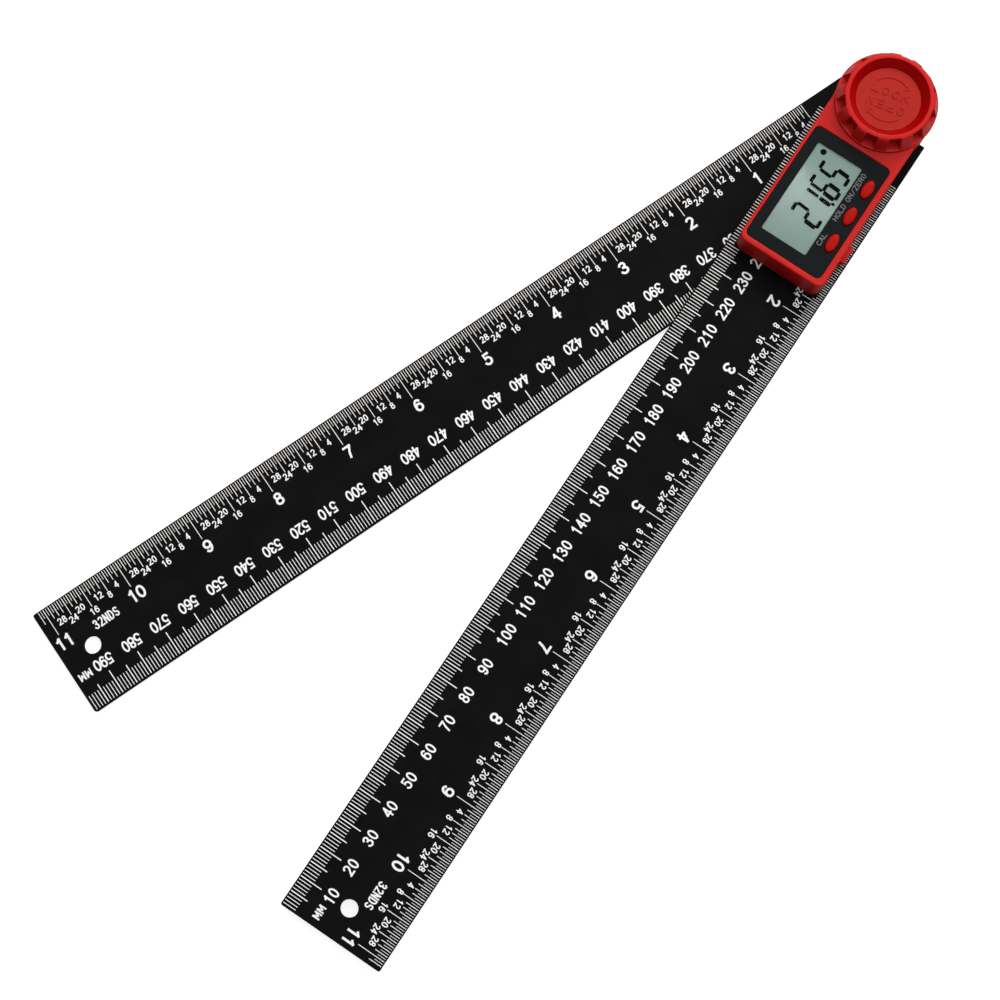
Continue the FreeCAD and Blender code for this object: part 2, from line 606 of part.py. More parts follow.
def battery_tray():
    side_top = CELL_TOP - CELL_PROUD
    front_y = CELL_Y + POCKET_R
    tray = box(TRAY_X0, TRAY_X1, TRAY_Y0, HEAD_HALF_WIDTH, TRAY_Z, side_top)
    tray = tray.fuse(box(TRAY_X0, TRAY_X1, front_y, HEAD_HALF_WIDTH, TRAY_Z, CELL_TOP))
    tab_z = TRAY_Z + TAB_RISE
    tray = tray.fuse(box(TAB_X - TAB_LENGTH / 2, TAB_X + TAB_LENGTH / 2,
                         HEAD_HALF_WIDTH - OVERCUT, HEAD_HALF_WIDTH + TAB_REACH,
                         tab_z, tab_z + TAB_HEIGHT))
    tray = tray.cut(rod(POCKET_R, CELL_Z, CELL_TOP + OVERCUT, CELL_X, CELL_Y))
    channel = CONTACT_WIDTH / 2 + CHANNEL_CLEARANCE
    tray = tray.cut(box(CELL_X - channel, CELL_X + channel, TRAY_Y0 - OVERCUT,
                        CELL_Y + CHANNEL_CLEARANCE, TRAY_Z - OVERCUT, CELL_Z))
    notch_x = TAB_X - TAB_LENGTH / 2
    tray = tray.cut(box(notch_x - NOTCH_LENGTH, notch_x, HEAD_HALF_WIDTH - NOTCH_DEPTH,
                        HEAD_HALF_WIDTH + OVERCUT, tab_z, CELL_TOP + OVERCUT))
    return tray.removeSplitter()


def coin_cell():
    cell = rod(CELL_R, CELL_Z, CELL_TOP, CELL_X, CELL_Y)
    return cell.makeFillet(CELL_EDGE_R, edges_at(cell, CELL_Z))


def case_screws():
    return Part.makeCompound([case_screw(x, y, 0.0).removeSplitter() for x, y in CASE_POINTS])


def pivot_bush():
    flange_z = BASE_TOP + BUSH_FLANGE_THICK
    return ring(BUSH_BORE_R, BUSH_R, HEAD_RULE_Z, flange_z).fuse(
        ring(BUSH_BORE_R, BUSH_R + BUSH_FLANGE, BASE_TOP, flange_z)).removeSplitter()


def pivot_stud():
    """Flush head, hexagon in the free rule, journal, D seat, shaft and thread, bottom to top."""
    tip = CAP_Z - STUD_TIP_GAP
    stud = rod(STUD_HEAD_R, 0.0, STUD_HEAD)
    stud = stud.fuse(hexagon(STUD_HEX, STUD_HEAD - OVERCUT / 2, RULE_THICK))
    stud = stud.fuse(rod(STUD_JOURNAL_R, OVERCUT, HUB_Z))
    stud = stud.fuse(d_shape(STUD_SEAT_R, STUD_FLAT, HUB_Z, HUB_TOP))
    stud = stud.fuse(rod(STUD_SHAFT_R, HUB_TOP, RING_TOP + RING_GROOVE))
    stud = stud.cut(ring(STUD_SHAFT_R - RING_GROOVE, STUD_SHAFT_R + OVERCUT, RING_Z, RING_TOP))
    thread = rod(STUD_THREAD_R, RING_TOP, tip)
    thread = thread.makeChamfer(STUD_CHAMFER, edges_at(thread, tip))
    return turned(stud.fuse(thread).removeSplitter())


def slip_washer():
    return turned(ring(BUSH_R, SLIP_R, SLIP_Z, HEAD_RULE_Z))


def encoder_rotor():
    rotor = rod(ROTOR_R, ROTOR_Z, ROTOR_Z + ROTOR_THICK).fuse(rod(ROTOR_HUB_R, HUB_Z, HUB_TOP))
    bore = d_shape(STUD_SEAT_R + SEAT_CLEARANCE, STUD_FLAT + SEAT_CLEARANCE,
                   HUB_Z - OVERCUT, HUB_TOP + OVERCUT)
    return turned(rotor.cut(bore).removeSplitter())


def wave_washer():
    return turned(ring(STUD_SHAFT_R + NECK_CLEARANCE, WAVE_R, WELL_Z, RING_Z))


def retaining_ring():
    clip = ring(STUD_SHAFT_R - RING_GROOVE + SEAT_CLEARANCE, RING_R, RING_Z, RING_TOP)
    slot = box(0.0, RING_R + OVERCUT, -RING_SLOT / 2, RING_SLOT / 2,
               RING_Z - OVERCUT, RING_TOP + OVERCUT)
    return turned(clip.cut(slot))


def stator_board():
    tab = box(0.0, STATOR_TAB_X, -STATOR_TAB_WIDTH / 2, STATOR_TAB_WIDTH / 2,
              STATOR_Z, STATOR_Z + STATOR_THICK)
    board = rod(STATOR_R, STATOR_Z, STATOR_Z + STATOR_THICK).fuse(tab)
    bore = rod(STATOR_BORE_R, STATOR_Z - OVERCUT, STATOR_Z + STATOR_THICK + OVERCUT)
    return board.cut(bore).removeSplitter()


def board_ribbon():
    """Flat ribbon from the stator's tab up to the underside of the main board."""
    low = STATOR_Z + STATOR_THICK
    foot = STATOR_TAB_X - RIBBON_LAP
    top = BOARD_X0 + RIBBON_LAP
    side = [(foot, low), (STATOR_TAB_X, low), (BOARD_X0, BOARD_Z - RIBBON_THICK),
            (top, BOARD_Z - RIBBON_THICK), (top, BOARD_Z),
            (BOARD_X0 - RIBBON_THICK, BOARD_Z), (STATOR_TAB_X - RIBBON_THICK, low + RIBBON_THICK),
            (foot, low + RIBBON_THICK)]
    corners = [FreeCAD.Vector(x, -RIBBON_WIDTH / 2, z) for x, z in side]
    face = Part.Face(Part.makePolygon(corners + corners[:1]))
    return face.extrude(FreeCAD.Vector(0, RIBBON_WIDTH, 0))


def knob_washer():
    return ring(KNOB_BORE_R + SEAT_CLEARANCE, KNOB_WASHER_R, HEAD_TOP, KNOB_Z)


def flute():
    """One pocket of the grip: deep from the skirt to the rim, a shallow scallop over the rim."""
    z0 = KNOB_Z + KNOB_SKIRT
    z1 = KNOB_TOP - FLUTE_RIM
    out = KNOB_R + OVERCUT
    half = FLUTE_WIDTH / 2
    deep = box(KNOB_R - FLUTE_DEPTH, out, -half, half, z0, z1)
    scallop = box(KNOB_TOP_R - FLUTE_SCALLOP, out, -half, half, z0, KNOB_TOP + OVERCUT)
    return deep.fuse(scallop)


def lock_knob():
    """A hollow fluted cup, mouth down, with a dished top, a skirt and a hub for the insert."""
    body = Part.makeCone(KNOB_R, KNOB_TOP_R, KNOB_HEIGHT, FreeCAD.Vector(0, 0, KNOB_Z))
    body = body.makeFillet(KNOB_EDGE_R, edges_at(body, KNOB_TOP))
    body = body.cut(Part.makeCone(DISH_R, RIM_INNER_R, DISH_DEPTH,
                                  FreeCAD.Vector(0, 0, KNOB_TOP - DISH_DEPTH)))
    inner_edge = min(edges_at(body, KNOB_TOP), key=lambda edge: edge.Length)
    body = body.makeFillet(RIM_EDGE_R, [inner_edge])
    for i in range(FLUTE_COUNT):
        pocket = flute()
        pocket.rotate(PIVOT, UP, FLUTE_START + 360.0 * i / FLUTE_COUNT)
        body = body.cut(pocket)
    body = body.fuse(rod(KNOB_R, KNOB_Z, KNOB_Z + KNOB_SKIRT))
    body = body.cut(rod(KNOB_BORE_R, KNOB_Z - OVERCUT, CAP_Z - KNOB_WEB))
    body = body.fuse(rod(INSERT_R + KNOB_HUB_WALL, KNOB_HUB_Z, CAP_Z))
    body = body.cut(rod(DISH_R, CAP_Z, KNOB_TOP))
    body = body.cut(rod(INSERT_R, KNOB_HUB_Z - OVERCUT, CAP_Z + OVERCUT))
    return body.removeSplitter()


def knob_insert():
    return ring(STUD_THREAD_R + THREAD_CLEARANCE, INSERT_R, KNOB_HUB_Z, CAP_Z - INSERT_STEP)


def knob_cap():
    return rod(DISH_R - CAP_CLEARANCE, CAP_Z, CAP_Z + CAP_THICK)


def export(name, shape):
    bad = [s for s in shape.Solids if not s.isValid()]
    print(name, len(shape.Solids), "solids", "" if not bad else "INVALID")
    shape.exportStep("parts/" + name + ".step")


os.makedirs("parts", exist_ok=True)
PIECES = [head_rule, free_rule, housing_base, housing_shell, faceplate, display_window, lcd_glass,
          lcd_frame, zebra_strips, main_board, board_screws, controller_chip, board_parts,
          dome_switches, contact_positive, contact_negative, battery_tray, coin_cell, case_screws,
          pivot_bush, pivot_stud, slip_washer, encoder_rotor, wave_washer, retaining_ring,
          stator_board, board_ribbon, knob_washer, lock_knob, knob_insert, knob_cap]
for piece in PIECES:
    export(piece.__name__, piece())
for button_name, button_x in zip(BUTTON_NAMES, BUTTON_XS):
    export(button_name, button(button_x))
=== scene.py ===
import json
import math
import bmesh
import bpy
import numpy as np
from mathutils import Euler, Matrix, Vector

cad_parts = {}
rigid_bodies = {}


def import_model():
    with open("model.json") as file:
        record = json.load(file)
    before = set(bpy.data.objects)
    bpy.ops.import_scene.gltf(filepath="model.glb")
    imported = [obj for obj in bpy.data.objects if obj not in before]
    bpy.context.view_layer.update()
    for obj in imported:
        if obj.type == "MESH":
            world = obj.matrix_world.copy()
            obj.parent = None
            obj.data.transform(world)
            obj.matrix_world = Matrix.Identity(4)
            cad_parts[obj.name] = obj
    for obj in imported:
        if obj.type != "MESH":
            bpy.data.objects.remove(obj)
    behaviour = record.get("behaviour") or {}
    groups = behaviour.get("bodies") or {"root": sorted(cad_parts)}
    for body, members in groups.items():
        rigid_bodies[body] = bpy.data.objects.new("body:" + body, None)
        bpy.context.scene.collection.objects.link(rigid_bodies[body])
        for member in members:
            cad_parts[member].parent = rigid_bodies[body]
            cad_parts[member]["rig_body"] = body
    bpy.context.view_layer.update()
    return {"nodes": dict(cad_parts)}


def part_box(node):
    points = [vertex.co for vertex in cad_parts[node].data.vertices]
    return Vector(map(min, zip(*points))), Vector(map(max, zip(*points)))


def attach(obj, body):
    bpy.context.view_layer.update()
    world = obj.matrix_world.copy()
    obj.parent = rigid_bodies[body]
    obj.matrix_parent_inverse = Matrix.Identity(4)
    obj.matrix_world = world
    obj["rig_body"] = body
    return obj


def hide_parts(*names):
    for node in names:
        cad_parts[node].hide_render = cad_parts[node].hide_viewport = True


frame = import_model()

MM = 0.001


# ---- The two rules ----
# Two strips of black glass-filled nylon, moulded flat with a round nose for the pivot and a hole
# to hang them by. Their long edges are scraped and their faces carry a fine spark grain.

def wired(name, **settings):
    """A new material and its shader, with the plain settings given on the shader's own sockets."""
    finish = bpy.data.materials.new(name)
    finish.use_nodes = True
    shader = finish.node_tree.nodes["Principled BSDF"]
    for socket, value in settings.items():
        shader.inputs[socket.replace("_", " ")].default_value = value
    return finish, finish.node_tree, shader


def moulded(name, colour, rough, grain, depth, drift=0.08, specular=0.2):
    """Moulded plastic: fine noise lifts the surface, slow noise shades its colour and its gloss."""
    finish, tree, shader = wired(name, Specular_IOR_Level=specular)
    place = tree.nodes.new("ShaderNodeTexCoord")
    fine = tree.nodes.new("ShaderNodeTexNoise")
    fine.inputs["Scale"].default_value = 1.0 / grain
    fine.inputs["Detail"].default_value = 3.0
    lift = tree.nodes.new("ShaderNodeBump")
    lift.inputs["Distance"].default_value = depth
    slow = tree.nodes.new("ShaderNodeTexNoise")
    slow.inputs["Scale"].default_value = 0.03 / grain
    slow.inputs["Detail"].default_value = 5.0
    shade = tree.nodes.new("ShaderNodeValToRGB")
    shade.color_ramp.elements[0].position = 0.3
    shade.color_ramp.elements[0].color = [c * (1 - drift) for c in colour] + [1]
    shade.color_ramp.elements[1].position = 0.7
    shade.color_ramp.elements[1].color = [c * (1 + drift) for c in colour] + [1]
    dull = tree.nodes.new("ShaderNodeMapRange")
    dull.inputs["To Min"].default_value = rough - 0.08
    dull.inputs["To Max"].default_value = rough + 0.08
    link = tree.links.new
    link(place.outputs["Object"], fine.inputs["Vector"])
    link(place.outputs["Object"], slow.inputs["Vector"])
    link(fine.outputs["Fac"], lift.inputs["Height"])
    link(lift.outputs["Normal"], shader.inputs["Normal"])
    link(slow.outputs["Fac"], shade.inputs["Fac"])
    link(shade.outputs["Color"], shader.inputs["Base Color"])
    link(slow.outputs["Fac"], dull.inputs["Value"])
    link(dull.outputs["Result"], shader.inputs["Roughness"])
    return finish


def softened(node, name, width, finish):
    """A merged copy of a CAD node, with its sharp edges rounded to the width in millimetres."""
    merged = bmesh.new()
    merged.from_mesh(frame["nodes"][node].data)
    bmesh.ops.remove_doubles(merged, verts=merged.verts, dist=0.001 * MM)
    bmesh.ops.dissolve_limit(merged, angle_limit=0.01, verts=merged.verts, edges=merged.edges)
    for layer in merged.loops.layers.float_vector.values():
        merged.loops.layers.float_vector.remove(layer)
    mesh = bpy.data.meshes.new(name)
    merged.to_mesh(mesh)
    merged.free()
    mesh.polygons.foreach_set("use_smooth", np.ones(len(mesh.polygons), bool))
    # The facets of the CAD's own fillets fold by up to 45 degrees, and stay as they are.
    mesh.set_sharp_from_angle(angle=math.radians(55))
    mesh.materials.append(finish)
    piece = bpy.data.objects.new(name, mesh)
    bpy.context.scene.collection.objects.link(piece)
    edges = piece.modifiers.new("edges", "BEVEL")
    edges.width = width * MM
    edges.segments = 2
    edges.limit_method = "ANGLE"
    edges.angle_limit = math.radians(60)
    edges.use_clamp_overlap = False
    edges.harden_normals = True
    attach(piece, frame["nodes"][node]["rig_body"])
    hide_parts(node)
    return piece


rule_black = moulded("rule_black", (0.0055, 0.0055, 0.0057), 0.6, 0.25 * MM, 0.01 * MM, 0.2, 0.04)
softened("head_rule", "upper_rule", 0.15, rule_black)
softened("free_rule", "lower_rule", 0.15, rule_black)


# ---- The scales on the rules ----
# White two-part ink, screen printed in one pass and baked: a film 0.03 mm thick, with millimetres
# along one edge and inches in 32nds along the other, numbered in bold plain figures.

def bend(cx, cy, rx, ry, start, end, count=9):
    """Points along an oval about cx, cy, from one angle to another in degrees."""
    t = np.radians(np.linspace(start, end, count))
    return np.column_stack([cx + rx * np.cos(t), cy + ry * np.sin(t)])


def stroke(*parts):
    """One line through all the points of its parts, in their order."""
    return np.vstack([np.atleast_2d(part) for part in parts])


SIX = stroke(bend(0.52, 0.5, 0.52, 0.5, 50, 165, 6), bend(0.5, 0.31, 0.5, 0.31, 180, 540, 14))
FIGURES = {
    "0": [bend(0.5, 0.5, 0.5, 0.5, 0, 360, 17)],
    "1": [stroke([(0.25, 0.8), (0.62, 1.0)]), stroke([(0.62, 1.0), (0.62, 0.0)])],
    "2": [stroke(bend(0.5, 0.73, 0.48, 0.27, 150, -30, 8), [(0, 0)]), stroke([(0, 0), (1, 0)])],
    "3": [bend(0.47, 0.77, 0.43, 0.23, 160, -90, 8), bend(0.47, 0.27, 0.53, 0.27, 90, -160, 9)],
    "4": [stroke([(0.74, 0), (0.74, 1)]), stroke([(0.7, 1), (0, 0.3)]), stroke([(0, 0.3), (1, 0.3)])],
    "5": [stroke([(0.92, 1), (0.2, 1), (0.1, 0.5)], bend(0.47, 0.33, 0.53, 0.33, 125, -155, 10))],
    "6": [SIX],
    "7": [stroke([(0, 1), (1, 1)]), stroke([(1, 1), (0.55, 0.45), (0.35, 0)])],
    "8": [bend(0.5, 0.77, 0.42, 0.23, -90, 270, 13), bend(0.5, 0.28, 0.5, 0.28, 90, 450, 14)],
    "9": [1 - SIX],
    "A": [stroke([(0, 0), (0.46, 1)]), stroke([(0.54, 1), (1, 0)]), stroke([(0.3, 0.32), (0.7, 0.32)])],
    "C": [bend(0.55, 0.5, 0.55, 0.5, 45, 315, 12)],
    "D": [stroke([(0, 0), (0, 1)], bend(0.4, 0.5, 0.6, 0.5, 90, -90, 8), [(0, 0)])],
    "E": [stroke([(1, 1), (0, 1), (0, 0), (1, 0)]), stroke([(0, 0.52), (0.85, 0.52)])],
    "H": [stroke([(0, 0), (0, 1)]), stroke([(1, 0), (1, 1)]), stroke([(0, 0.5), (1, 0.5)])],
    "K": [stroke([(0, 0), (0, 1)]), stroke([(1, 1), (0, 0.4)]), stroke([(0.35, 0.6), (1, 0)])],
    "L": [stroke([(0, 1), (0, 0), (1, 0)])],
    "M": [stroke([(0, 0), (0, 1)]), stroke([(0.06, 1), (0.5, 0.3)]), stroke([(0.94, 1), (0.5, 0.3)]),
          stroke([(1, 0), (1, 1)])],
    "N": [stroke([(0, 0), (0, 1)]), stroke([(0.06, 1), (0.94, 0)]), stroke([(1, 0), (1, 1)])],
    "O": [bend(0.5, 0.5, 0.5, 0.5, 0, 360, 17)],
    "P": [stroke([(0, 0), (0, 1)], bend(0.6, 0.75, 0.4, 0.25, 90, -90, 7), [(0, 0.5)])],
    "R": [stroke([(0, 0), (0, 1)], bend(0.6, 0.75, 0.4, 0.25, 90, -90, 7), [(0, 0.5)]),
          stroke([(0.5, 0.5), (1, 0)])],
    "S": [stroke(bend(0.5, 0.75, 0.48, 0.25, 30, 270, 8), bend(0.5, 0.25, 0.5, 0.25, 70, -150, 8))],
    "Z": [stroke([(0, 1), (1, 1)]), stroke([(1, 1), (0, 0)]), stroke([(0, 0), (1, 0)])],
    "/": [stroke([(0.1, 0), (0.9, 1)])],
}


def lettered(text, height, width, pitch, weight):
    """Centre lines of the figures of a text, the first one centred on x = 0, standing on y = 0.
    Open lines run on by half the weight, so that strokes reach the full height and fill corners."""
    lines = []
    for i, character in enumerate(text):
        for line in FIGURES[character]:
            x = (line[:, 0] - 0.5) * (width - weight) + i * pitch
            y = line[:, 1] * (height - weight) + weight / 2
            line = np.column_stack([x, y])
            if not np.allclose(line[0], line[-1]):
                for end, inner in ((0, 1), (-1, -2)):
                    run = line[end] - line[inner]
                    line[end] += run / np.linalg.norm(run) * weight / 2
            lines.append(line)
    return lines


def placed(lines, x, y, turn):
    """The lines turned by an angle in degrees about 0, 0 and moved to x, y."""
    c, s = math.cos(math.radians(turn)), math.sin(math.radians(turn))
    return [line @ np.array([[c, s], [-s, c]]) + (x, y) for line in lines]


def inked(line, width, low, high):
    """A flat bar along a line: at each point half the width goes to both sides on the mitre of the
    two runs that meet there, and a rectangle from low to high is carried along them. The bar
    rises by 0.004 mm from end to end, so that its crossings with itself have one top face."""
    width = np.broadcast_to(width, len(line))
    closed = np.allclose(line[0], line[-1])
    if closed:
        line, width = line[:-1], width[:-1]
    run = np.roll(line, -1, 0) - line
    if not closed:
        run[-1] = run[-2]
    run /= np.linalg.norm(run, axis=1)[:, None]
    left = np.column_stack([-run[:, 1], run[:, 0]])
    before = np.roll(left, 1, 0)
    if not closed:
        before[0] = left[0]
    mitre = (left + before) / np.maximum(1 + (left * before).sum(1), 0.6)[:, None]
    reach = mitre * width[:, None] / 2
    rise = np.linspace(0, 0.004, len(line))[:, None]
    lows, highs = np.full((len(line), 1), low) + rise, np.full((len(line), 1), high) + rise
    corners = np.stack([np.hstack([line - reach, lows]), np.hstack([line + reach, lows]),
                        np.hstack([line + reach, highs]), np.hstack([line - reach, highs])], 1)
    count = len(line)
    here = np.arange(count if closed else count - 1)[:, None] * 4
    there = (here + 4) % (4 * count)
    k = np.arange(4)[None, :]
    quads = np.stack([here + k, here + (k + 1) % 4, there + (k + 1) % 4, there + k], -1)
    quads = quads.reshape(-1, 4)
    if not closed:
        ends = np.array([[0, 3, 2, 1], np.arange(4) + 4 * (count - 1)])
        quads = np.vstack([quads, ends])
    return corners.reshape(-1, 3), quads


def joined(name, shells, finish, body, smooth=False):
    """One piece from a list of closed shells, each of corners in millimetres and their faces."""
    starts = np.cumsum([0] + [len(corners) for corners, _ in shells])
    corners = np.vstack([corners for corners, _ in shells]) * MM
    faces = [face + start for (_, quads), start in zip(shells, starts) for face in quads]
    mesh = bpy.data.meshes.new(name)
    mesh.from_pydata(corners, [], faces)
    if smooth:
        mesh.polygons.foreach_set("use_smooth", np.ones(len(mesh.polygons), bool))
        mesh.set_sharp_from_angle(angle=math.radians(smooth))
    mesh.materials.append(finish)
    piece = bpy.data.objects.new(name, mesh)
    bpy.context.scene.collection.objects.link(piece)
    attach(piece, body)
    return piece


white_ink = moulded("white_ink", (0.92, 0.92, 0.91), 0.55, 0.3 * MM, 0.006 * MM, 0.04, 0.1)
UPPER_TOP = 5.3              # top faces of the two rules
LOWER_TOP = 2.5
LOWER_TURN = -21.65          # the lower rule's angle at rest, in degrees
EDGE = 16.95                 # where the ticks start, from the rule's middle line
BESIDE_HEAD = 15.0           # ticks beside the head end here, just short of its side
HEAD_END = 61                # the head ends just short of this
LAST_MARK = 299.3            # no inch mark lies further from the pivot axis
MM_WEIGHT = 0.54             # strokes of the figures at the tens of millimetres,
INCH_WEIGHT = 0.7            # at the inches
SMALL_WEIGHT = 0.34          # and at the 32nds,
WORD_WEIGHT = 0.45           # and of the words MM and 32NDS


def marked(side, value, height, width, pitch, weight, x, base):
    """A number standing on a line on one side of the rule, its tops towards that side's edge."""
    lines = placed(lettered(value, height, width, pitch, weight), x, side * base, 90 - 90 * side)
    return [(line, weight) for line in lines]


def millimetres(side, x_of, values, reaches, base, lead, pitch, covered=0):
    """A tick at each value, longer at each five and ten, and a number standing at each ten. The
    reaches are where the three lengths of tick end, from the middle line. A number is moved
    along the rule by its lead, and there is none as far as the head has covered the rule."""
    marks = []
    for value in values:
        x = x_of(value)
        reach = reaches[(value % 5 == 0) + (value % 10 == 0)]
        reach = max(reach, BESIDE_HEAD) if x < covered else reach
        weight = 0.3 if value % 5 == 0 else 0.2
        marks.append((np.array([(x, side * EDGE), (x, side * reach)]), weight))
        if value % 10 == 0 and x > covered:
            marks += marked(side, str(value), 3.6, 2.05, pitch, MM_WEIGHT, x + side * lead, base)
    return marks


def inches(side, start, reaches, bases, big_base, big_lead, covered=0):
    """Ticks at each 32nd, longer at 16ths, quarters, halves and inches. The 32nds are numbered in
    fours with small figures in three rows, and the inches with large ones."""
    marks = []
    for step in range(int((LAST_MARK - start) / 25.4 * 32)):
        x = start + step * 25.4 / 32
        rank = sum(step % part == 0 for part in (2, 8, 16, 32))
        reach = max(reaches[rank], BESIDE_HEAD) if x < covered else reaches[rank]
        marks.append((np.array([(x, side * EDGE), (x, side * reach)]), 0.2 if rank else 0.13))
        count = str(step % 32)
        if step % 4 == 0 and step % 32 and x > covered:
            row = (step % 8 == 0) + (step % 16 == 0)
            lead = -0.75 * (len(count) - 1)
            marks += marked(side, count, 2.15, 1.3, 1.5, SMALL_WEIGHT, x + side * lead,
                            bases[row])
        if step and step % 32 == 0 and x > covered:
            count = str(step // 32)
            lead = big_lead[len(count) - 1]
            marks += marked(side, count, 4.05, 2.7, 2.85, INCH_WEIGHT, x + side * lead, big_base)
    return marks


def printed(name, marks, top, turn, body):
    """All the marks of one rule as one piece of ink on its top face, turned with the rule."""
    shells = []
    for line, weight in marks:
        turned = placed([line], 0, 0, turn)[0]
        shells.append(inked(turned, weight, top - 0.01, top + 0.03))
    return joined(name, shells, white_ink, body)


head_marks = millimetres(-1, lambda value: 300 - value, range(1, 293), (12.6, 11.2, 9.7), 4.47,
                         -1.2, 2.4, HEAD_END)
head_marks += inches(1, 17.4, (14.1, 12.7, 10.8, 9.4, 7.9), (10.05, 8.5, 6.9), 2.9, (0.3, -2.1),
                     HEAD_END)
# The first figure of 240, whose other two are under the head.
head_marks += marked(-1, "2", 3.6, 2.05, 2.4, MM_WEIGHT, 61.6, 4.47)
head_marks += marked(-1, "MM", 2.4, 1.9, 2.2, WORD_WEIGHT, 296.75, 5.4)
head_marks += marked(1, "32NDS", 2.9, 1.5, 1.75, WORD_WEIGHT, 279.2, 2.9)
printed("upper_scale", head_marks, UPPER_TOP, 0.0, "head")
free_marks = millimetres(1, lambda value: value - 300, range(317, 600), (12.3, 10.8, 9.3), 4.33,
                         -2.1, 2.1)
free_marks += inches(-1, 17.2, (14.5, 12.9, 11.0, 9.6, 8.1), (10.1, 8.6, 7.1), 3.25, (0.3, -1.1))
free_marks += marked(1, "MM", 2.4, 1.9, 2.2, WORD_WEIGHT, 295.35, 5.3)
free_marks += marked(-1, "32NDS", 3.0, 1.5, 1.75, WORD_WEIGHT, 285.8, 2.9)
printed("lower_scale", free_marks, LOWER_TOP, LOWER_TURN, "free_rule")


# ---- The pivot ----
# A turned steel stud, its head let into the lower rule, runs in a brass bush that is flanged over
# the upper one. A nylon washer parts the rules, and a sprung washer and a clip hold the stack.

def metal(name, colour, rough, pitch, depth, rings=True, x=0.0, y=0.0):
    """Turned or rolled metal: rings about an upright axis, or straight lines, cut a fine groove."""
    finish, tree, shader = wired(name, Metallic=1.0)
    place = tree.nodes.new("ShaderNodeTexCoord")
    centre = tree.nodes.new("ShaderNodeMapping")
    centre.inputs["Location"].default_value = (-x * MM, -y * MM, 0)
    cut = tree.nodes.new("ShaderNodeTexWave")
    cut.wave_type = "RINGS" if rings else "BANDS"
    cut.rings_direction = "Z"
    cut.inputs["Scale"].default_value = 1.0 / (pitch * MM) / 3
    cut.inputs["Distortion"].default_value = 1.5
    cut.inputs["Detail"].default_value = 2.0
    lift = tree.nodes.new("ShaderNodeBump")
    lift.inputs["Distance"].default_value = depth * MM
    stain = tree.nodes.new("ShaderNodeTexNoise")
    stain.inputs["Scale"].default_value = 350.0
    stain.inputs["Detail"].default_value = 4.0
    shade = tree.nodes.new("ShaderNodeValToRGB")
    shade.color_ramp.elements[0].color = [c * 0.88 for c in colour] + [1]
    shade.color_ramp.elements[1].color = [*colour, 1]
    dull = tree.nodes.new("ShaderNodeMapRange")
    dull.inputs["To Min"].default_value = rough - 0.07
    dull.inputs["To Max"].default_value = rough + 0.1
    link = tree.links.new
    link(place.outputs["Object"], centre.inputs["Vector"])
    link(centre.outputs["Vector"], cut.inputs["Vector"])
    link(place.outputs["Object"], stain.inputs["Vector"])
    link(cut.outputs["Fac"], lift.inputs["Height"])
    link(lift.outputs["Normal"], shader.inputs["Normal"])
    link(stain.outputs["Fac"], shade.inputs["Fac"])
    link(shade.outputs["Color"], shader.inputs["Base Color"])
    link(stain.outputs["Fac"], dull.inputs["Value"])
    link(dull.outputs["Result"], shader.inputs["Roughness"])
    return finish


def dressed(finish, *nodes):
    """Gives CAD nodes that keep their shape their finish."""
    for node in nodes:
        frame["nodes"][node].material_slots[0].material = finish


turned_steel = metal("turned_steel", (0.6, 0.6, 0.6), 0.3, 0.25, 0.01)
spring_steel = metal("spring_steel", (0.55, 0.55, 0.54), 0.25, 0.15, 0.004, rings=False)
turned_brass = metal("turned_brass", (0.72, 0.5, 0.2), 0.32, 0.2, 0.008)
nylon_white = moulded("nylon_white", (0.72, 0.72, 0.7), 0.5, 0.3 * MM, 0.006 * MM, 0.04, 0.3)
softened("pivot_stud", "flush_stud", 0.12, turned_steel)
softened("slip_washer", "slip_ring", 0.05, nylon_white)
dressed(turned_brass, "pivot_bush")
dressed(spring_steel, "wave_washer", "retaining_ring")
dressed(nylon_white, "knob_washer")


# ---- Base plate and case screws ----
# The head's floor is a black nylon plate. Four countersunk steel screws come up through the upper
# rule and the plate into bosses of the cover; their cross recesses show from underneath.

def turned_grid(grid, poles=False, outwards=1):
    """Faces over rows of corners that each close round on themselves. With poles the first and
    last row are filled, and without them the last row joins the first one."""
    rows, count, _ = grid.shape
    last = rows - 1 if poles else rows
    i, j = np.meshgrid(np.arange(last), np.arange(count), indexing="ij")
    k, m = (i + 1) % rows, (j + 1) % count
    quads = np.stack([i * count + j, i * count + m, k * count + m, k * count + j], -1)
    faces = [list(face[::outwards]) for face in quads.reshape(-1, 4)]
    if poles:
        low = list(range(count))[::-outwards]
        high = [(rows - 1) * count + n for n in range(count)][::outwards]
        faces += [low, high]
    return grid.reshape(-1, 3), faces


SCREW_HEAD_R = 2.0
ROUND = np.linspace(0, 2 * math.pi, 49)[:-1]    # 48 angles round a circle, in radians


